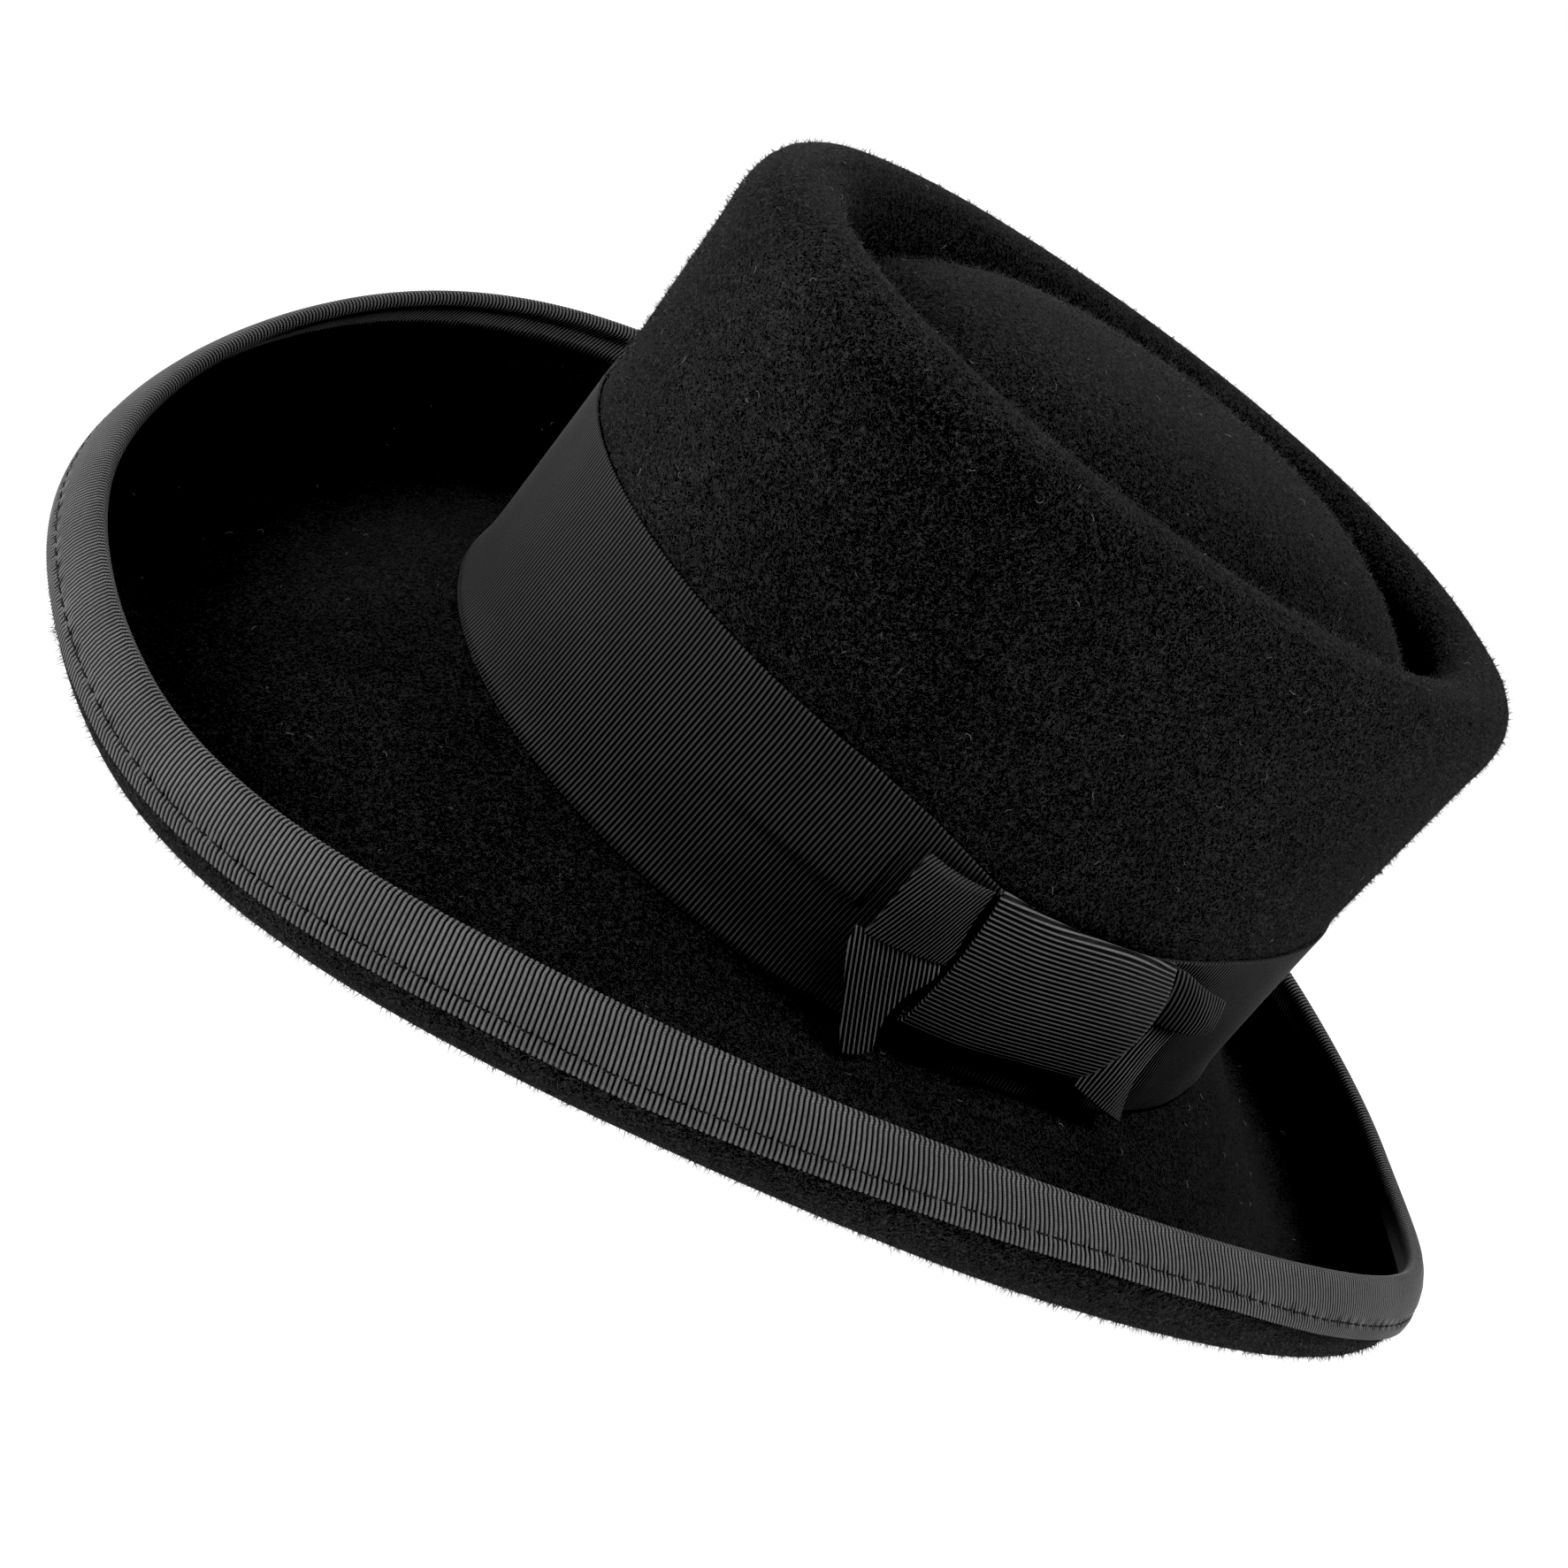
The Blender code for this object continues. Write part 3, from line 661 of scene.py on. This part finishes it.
REAR_UPPER = (
    ((16.6, 43.8, 0.6), (22.0, 43.5, 1.8), (27.5, 41.8, 2.8), (32.5, 40.6, 3.2), (37.4, 39.4, 3.4)),
    ((17.7, 40.6, 1.4), (23.1, 40.4, 2.8), (28.3, 39.0, 3.9), (33.4, 37.8, 4.2), (38.5, 36.6, 3.9)),
    ((19.4, 35.4, 1.6), (25.0, 35.2, 3.2), (30.0, 34.4, 4.2), (35.0, 33.8, 4.4), (40.0, 33.0, 4.0)),
    ((20.8, 29.4, 1.2), (26.4, 29.4, 2.8), (31.5, 29.4, 3.8), (36.6, 29.5, 3.9), (41.4, 29.8, 3.5)),
)
REAR_LOWER = (
    ((19.6, 28.6, 0.6), (24.5, 28.4, 1.3), (29.0, 28.0, 1.7), (33.5, 27.4, 1.5)),
    ((18.6, 22.0, 1.2), (23.4, 21.7, 2.2), (28.0, 21.2, 2.7), (32.4, 20.4, 2.3)),
    ((17.2, 15.0, 2.6), (22.2, 14.4, 3.9), (27.0, 13.4, 4.5), (31.6, 12.2, 4.2)),
    ((16.8, 9.8, 3.8), (23.4, 7.6, 4.9), (30.0, 5.2, 5.3), (36.6, 2.6, 5.0)),
)


def ribs_along_rows(fine, down, right, pitch):
    """Ribs that follow the rows, for a ribbon that was wrapped up and over."""
    return down / pitch, right


def ribs_down_columns(fine, down, right, pitch):
    """Ribs that follow the columns."""
    return right / pitch, down


def ribs_across_fold(fine, down, right, pitch):
    """Ribs that run down a fold and a little towards the front of the hat."""
    phase = (right * math.cos(FOLD_SLANT) + down * math.sin(FOLD_SLANT)) / pitch
    return phase, down * math.cos(FOLD_SLANT) - right * math.sin(FOLD_SLANT)


def ribs_slanting(fine, down, right, pitch):
    """Ribs that run down and towards the back of the hat."""
    along, height = fine[..., 0], fine[..., 1]
    phase = (along * math.cos(FLAP_SLANT) + height * math.sin(FLAP_SLANT)) / pitch
    return phase, along * math.sin(FLAP_SLANT) - height * math.cos(FLAP_SLANT)


def bow(finish, shaded):
    """The bow's centre and its folded tails."""
    made = {}
    pieces = (
        # name, control rows, columns, step between rows in millimetres, ribs, their pitch, finish
        ("bow_centre_ribbon", CENTRE, 60, 0.22, ribs_along_rows, CENTRE_PITCH, finish),
        # the two folds take the darker copy of the bow's ribbon, which is painted shade
        ("bow_front_fold", FRONT_UPPER, 100, 0.5, ribs_across_fold, FOLD_PITCH, shaded),
        ("bow_front_flap", FRONT_LOWER, 84, 0.25, ribs_slanting, FLAP_PITCH, finish),
        ("bow_rear_fold", REAR_UPPER, 110, 0.9, ribs_down_columns, REAR_PITCH, shaded),
        ("bow_rear_flap", REAR_LOWER, 90, 0.9, ribs_down_columns, REAR_PITCH, finish),
    )
    for name, table, columns, step, ribs, pitch, cloth in pieces:
        control = np.array(table) * MM
        at = np.linspace(0, control.shape[1] - 1, columns)
        made[name] = patch(name, control, at, step * MM, cloth, ribs, pitch)
    return made


def above_band(points):
    """How far points of the crown's felt lie above the band."""
    above = points[..., 2] - END_DROP
    lean = CROWN_LEAN * (np.maximum(above, 0) / CROWN_HEIGHT) ** 2 * points[..., 1] / TOP_END
    phi = np.arctan2(points[..., 1] / MID_END, points[..., 0] / MID_SIDE)
    return above + lean + NAP_OVERLAP - BAND_HEIGHT * around_table(phi, BAND_TOP)


def past_binding(grid):
    """How far the brim's felt lies from the binding, measured down each column from the edge."""
    steps = np.linalg.norm(np.diff(grid[::-1], axis=0), axis=-1)
    reach = np.concatenate([np.zeros((1, grid.shape[1])), np.cumsum(steps, axis=0)])[::-1]
    phi = np.arange(grid.shape[1]) * 2 * math.pi / grid.shape[1]
    return reach - np.maximum(around_table(phi, COVER), BINDING_COVER) - NAP_CLEAR


def nap(name, grid, out, count, width, finish, seed, rows, margin):
    """Short fibres that stand and lie where the felt's margin is positive: closed spikes of three sides."""
    rng = np.random.default_rng(seed)
    first, last = rows
    a = grid[first:last]
    b = grid[first + 1:last + 1]
    c = np.roll(a, -1, 1)
    area = np.linalg.norm(np.cross(b - a, c - a), axis=-1)
    area = (area * (margin[first:last] > -FELT_STEP)).ravel()
    pick = rng.choice(len(area), count, p=area / area.sum())
    row, column = np.divmod(pick, grid.shape[1])
    s, t = rng.random((2, count, 1))
    d = np.roll(b, -1, 1)
    root = (a[row, column] * (1 - s) + b[row, column] * s) * (1 - t)
    root = root + (c[row, column] * (1 - s) + d[row, column] * s) * t
    after = (column + 1) % grid.shape[1]
    low = margin[first + row, column] * (1 - s[:, 0]) + margin[first + row + 1, column] * s[:, 0]
    high = margin[first + row, after] * (1 - s[:, 0]) + margin[first + row + 1, after] * s[:, 0]
    kept = low * (1 - t[:, 0]) + high * t[:, 0] > 0
    up = out[first:last][row, column]
    flat = rng.normal(size=(count, 3))
    flat -= (flat * up).sum(-1, keepdims=True) * up
    flat /= np.linalg.norm(flat, axis=-1, keepdims=True)
    tilt = np.radians(rng.uniform(*NAP_LEAN, (count, 1)))
    way = up * np.cos(tilt) + flat * np.sin(tilt)
    reach = rng.uniform(*NAP_LENGTH, (count, 1)) * rng.random((count, 1)) ** 0.5
    first_side = np.cross(way, flat + up * 0.1)
    first_side /= np.linalg.norm(first_side, axis=-1, keepdims=True)
    second_side = np.cross(way, first_side)
    corners = [root + way * reach]
    for corner in range(3):
        turn = corner * 2 * math.pi / 3
        away = first_side * math.cos(turn) + second_side * math.sin(turn)
        corners.append(root - up * width + away * width)
    fibres = np.stack(corners, 1)[kept]
    fibres = fibres[fibres[:, :, 2].min(1) > 0]
    start = np.arange(len(fibres))[:, None] * 4
    faces = [start + np.array(face) for face in ((0, 1, 2), (0, 2, 3), (0, 3, 1), (3, 2, 1))]
    return make_mesh(name, fibres.reshape(-1, 3), [np.concatenate(faces)], finish)


def lint(grid, out, count, finish, seed):
    """A few pale hairs that curl on the felt."""
    rng = np.random.default_rng(seed)
    across = (np.roll(grid, -1, 1) - grid)[:-1]
    area = np.linalg.norm(np.cross(np.diff(grid, axis=0), across), axis=-1)
    pick = rng.choice(area.size, count, p=area.ravel() / area.sum())
    row, column = np.divmod(pick, grid.shape[1])
    root, up = grid[row, column], out[row, column]
    flat = rng.normal(size=(count, 3))
    flat -= (flat * up).sum(-1, keepdims=True) * up
    flat /= np.linalg.norm(flat, axis=-1, keepdims=True)
    side = np.cross(up, flat)
    share = np.linspace(0, 1, LINT_STEPS)[None, :, None]
    length = rng.uniform(*LINT_LENGTH, (count, 1, 1))
    bend = rng.uniform(-LINT_BEND, LINT_BEND, (count, 1, 1))
    bend = np.where(np.abs(bend) < LINT_LEAST_BEND, LINT_LEAST_BEND, bend)
    paths = root[:, None] + flat[:, None] * length * np.sin(bend * share) / bend
    paths = paths + side[:, None] * length * (1 - np.cos(bend * share)) / bend
    lift = LINT_LIFT * np.sin(math.pi * share) * rng.random((count, 1, 1))
    paths = paths + up[:, None] * (LINT_RADIUS + lift)
    paths = paths[paths[:, :, 2].min(1) > 2 * LINT_RADIUS]
    return tubes("lint_hairs", paths, LINT_RADIUS, 3, finish)


class Nodes:
    """Short calls that build a material's node tree."""
    def __init__(self, name):
        self.material = bpy.data.materials.new(name)
        self.material.use_nodes = True
        self.tree = self.material.node_tree
        self.shader = self.tree.nodes["Principled BSDF"]

    def put(self, value, socket):
        """Links an output to a socket, or sets the socket to a number or a colour."""
        if isinstance(value, bpy.types.NodeSocket):
            self.tree.links.new(value, socket)
        else:
            socket.default_value = value

    def math(self, operation, first, second=0.0, clamp=False):
        node = self.tree.nodes.new("ShaderNodeMath")
        node.operation = operation
        node.use_clamp = clamp
        self.put(first, node.inputs[0])
        self.put(second, node.inputs[1])
        return node.outputs[0]

    def noise(self, where, scale, detail=2.0, roughness=0.5, distortion=0.0):
        node = self.tree.nodes.new("ShaderNodeTexNoise")
        self.put(where, node.inputs["Vector"])
        node.inputs["Scale"].default_value = scale
        node.inputs["Detail"].default_value = detail
        node.inputs["Roughness"].default_value = roughness
        node.inputs["Distortion"].default_value = distortion
        return node.outputs["Fac"]

    def ramp(self, value, low, high, bottom=0.0, top=1.0):
        node = self.tree.nodes.new("ShaderNodeMapRange")
        node.interpolation_type = "SMOOTHSTEP"
        self.put(value, node.inputs["Value"])
        for name, number in (("From Min", low), ("From Max", high), ("To Min", bottom), ("To Max", top)):
            self.put(number, node.inputs[name])
        return node.outputs["Result"]

    def blend(self, share, first, second):
        node = self.tree.nodes.new("ShaderNodeMix")
        node.data_type = "RGBA"
        self.put(share, node.inputs["Factor"])
        from_colour, to_colour = [socket for socket in node.inputs if socket.type == "RGBA"]
        self.put(first, from_colour)
        self.put(second, to_colour)
        return next(socket for socket in node.outputs if socket.type == "RGBA")

    def bump(self, height, strength, distance):
        node = self.tree.nodes.new("ShaderNodeBump")
        node.inputs["Strength"].default_value = strength
        node.inputs["Distance"].default_value = distance
        self.put(height, node.inputs["Height"])
        self.tree.links.new(node.outputs["Normal"], self.shader.inputs["Normal"])

    def finish(self, colour, roughness, **fixed):
        self.put(colour, self.shader.inputs["Base Color"])
        self.put(roughness, self.shader.inputs["Roughness"])
        for name, value in fixed.items():
            self.shader.inputs[name.replace("_", " ")].default_value = value
        return self.material


def grey(value, warm=0.0):
    """A grey, or one that leans towards red."""
    return (value * (1 + warm), value, value * (1 - warm), 1.0)


def felt_material(name, pale, sheen):
    """Wool felt: tangled fibres, soft clumps and a short nap."""
    nodes = Nodes(name)
    where = nodes.tree.nodes.new("ShaderNodeTexCoord").outputs["Object"]
    strands = []
    for scale, distortion in ((1150.0, 1.0), (2000.0, 0.7)):
        tangle = nodes.noise(where, scale, 1.5, 0.5, distortion)
        from_line = nodes.math("ABSOLUTE", nodes.math("SUBTRACT", tangle, 0.5))
        strands.append(nodes.ramp(from_line, 0.0, 0.07, 1.0, 0.0))
    strand = nodes.math("MAXIMUM", strands[0], strands[1])
    clumps = nodes.noise(where, 1100.0, 4.0, 0.8)
    patches = nodes.noise(where, 45.0, 3.0, 0.55)
    light = nodes.math("MULTIPLY", strand, nodes.ramp(clumps, 0.38, 0.64, 0.12, 1.0))
    light = nodes.math("MULTIPLY", light, nodes.ramp(patches, 0.3, 0.7, 0.82, 1.1))
    colour = nodes.blend(light, grey(PIT_GREY), grey(pale))
    grain = nodes.noise(where, 3600.0, 2.0, 0.6)
    height = nodes.math("MULTIPLY", strand, 0.6)
    height = nodes.math("ADD", height, nodes.math("MULTIPLY", grain, 0.5))
    height = nodes.math("ADD", height, nodes.math("MULTIPLY", clumps, 0.9))
    nodes.bump(height, 1.0, 0.0005)
    roughness = nodes.ramp(clumps, 0.3, 0.7, 0.86, 1.0)
    return nodes.finish(colour, roughness, Sheen_Weight=sheen, Sheen_Roughness=0.20,
                        Specular_IOR_Level=0.03)


def nap_material(name, pale):
    """Single fibres, some paler than others."""
    nodes = Nodes(name)
    where = nodes.tree.nodes.new("ShaderNodeTexCoord").outputs["Object"]
    shade = nodes.noise(where, 1200.0, 2.0, 0.6)
    colour = nodes.blend(nodes.ramp(shade, 0.35, 0.70), grey(0.004), grey(pale))
    return nodes.finish(colour, nodes.ramp(shade, 0.3, 0.7, 0.6, 0.8), Specular_IOR_Level=0.1)


def lint_material():
    """Pale hairs, some paler than others."""
    nodes = Nodes("pale_lint")
    where = nodes.tree.nodes.new("ShaderNodeTexCoord").outputs["Object"]
    colour = nodes.blend(nodes.noise(where, 90.0, 1.0), grey(0.05), grey(0.42, 0.03))
    return nodes.finish(colour, nodes.ramp(nodes.noise(where, 700.0), 0.3, 0.7, 0.6, 0.8))


def thread_material():
    """Twisted black sewing thread."""
    nodes = Nodes("black_sewing_thread")
    where = nodes.tree.nodes.new("ShaderNodeTexCoord").outputs["Object"]
    twist = nodes.noise(where, 3500.0, 2.0, 0.6)
    nodes.bump(twist, 0.6, 0.00008)
    colour = nodes.blend(twist, grey(0.002), grey(0.010))
    return nodes.finish(colour, nodes.ramp(twist, 0.3, 0.7, 0.55, 0.75), Specular_IOR_Level=0.2)


def grosgrain_material(name, groove, pale):
    """Ribbed ribbon: thick ribs crossed by fine threads that bead them, with painted highlight on the ribs'
    backs and beads and painted shade in the grooves.
    """
    nodes = Nodes(name)
    layer = nodes.tree.nodes.new("ShaderNodeUVMap")
    layer.uv_map = "weave"
    split = nodes.tree.nodes.new("ShaderNodeSeparateXYZ")
    nodes.tree.links.new(layer.outputs["UV"], split.inputs[0])
    along, across = split.outputs["X"], split.outputs["Y"]
    wave = nodes.math("ABSOLUTE", nodes.math("SINE", nodes.math("MULTIPLY", along, math.pi)))
    shift = nodes.math("MULTIPLY", nodes.math("FLOOR", along), 0.5)
    beads = nodes.math("SINE", nodes.math("MULTIPLY", nodes.math("ADD", across, shift), math.pi))
    beads = nodes.math("ABSOLUTE", beads)
    where = nodes.tree.nodes.new("ShaderNodeTexCoord").outputs["Object"]
    fuzz = nodes.noise(where, 1500.0, 2.0, 0.6)
    patches = nodes.noise(where, 60.0, 3.0, 0.6)
    # painted highlight on each rib's back and bead, painted shade in the grooves between ribs
    back = nodes.ramp(wave, groove, 1.0)
    thread = nodes.math("ADD", nodes.math("MULTIPLY", beads, 0.65), 0.35)
    light = nodes.math("MULTIPLY", back, thread)
    light = nodes.math("MULTIPLY", light, nodes.ramp(fuzz, 0.25, 0.75, 0.75, 1.1))
    light = nodes.math("MULTIPLY", light, nodes.ramp(patches, 0.3, 0.7, 0.88, 1.06))
    colour = nodes.blend(light, grey(GROOVE_PAINTED_SHADE_GREY), grey(pale))
    height = nodes.math("MULTIPLY", back, 0.5)
    height = nodes.math("ADD", height, nodes.math("MULTIPLY", beads, 0.5))
    height = nodes.math("ADD", height, nodes.math("MULTIPLY", fuzz, 0.25))
    nodes.bump(height, 0.6, 0.00010)
    return nodes.finish(colour, nodes.ramp(fuzz, 0.3, 0.7, 0.52, 0.68), Sheen_Weight=0.05,
                        Sheen_Roughness=0.4, Specular_IOR_Level=0.15)


def floor_material():
    """A floor that looks white by its own glow and throws back little of the lamps' light."""
    nodes = Nodes("white_floor")
    where = nodes.tree.nodes.new("ShaderNodeTexCoord").outputs["Object"]
    shade = nodes.noise(where, 3.0, 2.0)
    colour = nodes.blend(shade, grey(0.10), grey(0.12))
    nodes.shader.inputs["Emission Color"].default_value = (1.0, 1.0, 1.0, 1.0)
    nodes.shader.inputs["Emission Strength"].default_value = FLOOR_GLOW
    return nodes.finish(colour, 0.9)


def turned(vector, axis, angle):
    """A vector turned about an axis."""
    return Matrix.Rotation(angle, 3, axis) @ vector


def make_camera():
    """The photograph's camera: level direction first, then its pan, tilt and roll."""
    back = Vector((math.sin(CAMERA_AZIMUTH) * math.cos(CAMERA_HEIGHT),
                   -math.cos(CAMERA_AZIMUTH) * math.cos(CAMERA_HEIGHT), math.sin(CAMERA_HEIGHT)))
    ahead = -back
    right = ahead.cross(Vector((0, 0, 1))).normalized()
    up = right.cross(ahead)
    ahead, right = turned(ahead, up, CAMERA_PAN), turned(right, up, CAMERA_PAN)
    ahead, up = turned(ahead, right, CAMERA_TILT), turned(up, right, CAMERA_TILT)
    right, up = turned(right, ahead, CAMERA_ROLL), turned(up, ahead, CAMERA_ROLL)
    data = bpy.data.cameras.new("camera")
    data.sensor_width = SENSOR
    data.lens = LENS
    camera = bpy.data.objects.new("camera", data)
    bpy.context.scene.collection.objects.link(camera)
    place = Matrix((right, up, -ahead)).transposed().to_4x4()
    place.translation = Vector(CAMERA_TARGET) + back * CAMERA_DISTANCE
    camera.matrix_world = place
    bpy.context.scene.camera = camera


def soft_light(name, azimuth, height, power):
    """A soft square light that faces the hat, placed by its direction from the front."""
    azimuth, height = math.radians(azimuth), math.radians(height)
    back = Vector((math.sin(azimuth) * math.cos(height), -math.cos(azimuth) * math.cos(height),
                   math.sin(height)))
    data = bpy.data.lights.new(name, "AREA")
    data.shape = "SQUARE"
    data.size = LIGHT_SIZE
    data.energy = power
    light = bpy.data.objects.new(name, data)
    light.location = Vector((0, 0, LIGHT_AIM)) + back * LIGHT_DISTANCE
    light.rotation_mode = "QUATERNION"
    light.rotation_quaternion = (-back).to_track_quat("-Z", "Y")
    bpy.context.scene.collection.objects.link(light)


def studio():
    """A wide white floor, a pale horizon under a dark sky, and soft lights."""
    signs = np.array([(-1, -1, 0), (1, -1, 0), (1, 1, 0), (-1, 1, 0)])
    corners = signs * FLOOR_REACH
    floor = make_mesh("floor", corners, [np.array([[0, 1, 2, 3]])], floor_material())
    world = bpy.data.worlds.new("studio")
    world.use_nodes = True
    sky = world.node_tree
    split = sky.nodes.new("ShaderNodeSeparateXYZ")
    sky.links.new(sky.nodes.new("ShaderNodeTexCoord").outputs["Generated"], split.inputs[0])
    fall = sky.nodes.new("ShaderNodeMapRange")
    fall.inputs["From Min"].default_value = 0.0
    fall.inputs["From Max"].default_value = HORIZON_TOP
    fall.inputs["To Min"].default_value = HORIZON_GLOW
    fall.inputs["To Max"].default_value = SKY_GLOW
    sky.links.new(split.outputs["Z"], fall.inputs["Value"])
    sky.links.new(fall.outputs["Result"], sky.nodes["Background"].inputs["Strength"])
    sky.nodes["Background"].inputs["Color"].default_value = (1.0, 1.0, 1.0, 1.0)
    bpy.context.scene.world = world
    settings = bpy.context.scene.view_settings
    settings.view_transform = "Standard"
    settings.use_curve_mapping = True
    settings.curve_mapping.black_level = (BLACK_LEVEL,) * 3
    settings.curve_mapping.update()
    for name, azimuth, height, power in LIGHTS:
        soft_light(name, azimuth, height, power)


def main():
    """Builds the stage and the hat, hangs every piece under one body, and hides the solids that the pieces
    stand for.
    """
    felt = [felt_material(*look) for look in (CROWN_FELT, DISH_FELT_PAINTED_SHADE, UNDER_FELT_PAINTED_LIGHT)]
    fibre = nap_material(*CROWN_FIBRE)
    make_camera()
    studio()
    body, outer, inner, out, crown_end = felt_body(*felt)
    binding, middles = brim_binding(grosgrain_material(*BINDING_CLOTH))
    stitches = seam_stitches(middles, thread_material())
    band = hat_band(grosgrain_material(*BAND_CLOTH_PAINTED_SHADE))
    bow_pieces = bow(grosgrain_material(*BOW_CLOTH), grosgrain_material(*FOLD_CLOTH_PAINTED_SHADE))
    # the dish's fibres carry painted shade
    dish_fibre_painted_shade = nap_material(*DISH_FIBRE_PAINTED_SHADE)
    last = len(outer) - 1
    lint_rows = len(outer) - LINT_EDGE_ROWS
    loose = [
        nap("nap_crown", outer, out, CROWN_FIBRES, CROWN_WIDTH, fibre, 3, (0, crown_end), above_band(outer)),
        nap("nap_dish", outer, out, DISH_FIBRES, DISH_WIDTH, dish_fibre_painted_shade, 6, (crown_end, last),
            past_binding(outer)),
        nap("nap_under", inner, -out, UNDER_FIBRES, UNDER_WIDTH, fibre, 4,
            (crown_end + UNDER_FIRST_ROWS, last), past_binding(inner)),
        lint(outer[:lint_rows], out[:lint_rows], LINT_HAIRS, lint_material(), 5),
    ]
    pieces = [(body, ["felt_body"], "felt"), (binding, ["brim_binding"], "grosgrain"),
              (band, ["hat_band"], "grosgrain"),
              (bow_pieces["bow_centre_ribbon"], ["bow_centre"], "grosgrain"),
              (bow_pieces["bow_front_fold"], ["bow_front_tail"], "grosgrain"),
              (bow_pieces["bow_front_flap"], ["bow_front_tail"], "grosgrain"),
              (bow_pieces["bow_rear_fold"], ["bow_rear_tail_upper"], "grosgrain"),
              (bow_pieces["bow_rear_flap"], ["bow_rear_tail_lower"], "grosgrain")]
    pieces += [(piece, [], "felt") for piece in loose]
    pieces.append((stitches, [], "grosgrain"))
    for piece, nodes, slot in pieces:
        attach(piece, "root")
        if nodes:
            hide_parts(*nodes)


main()
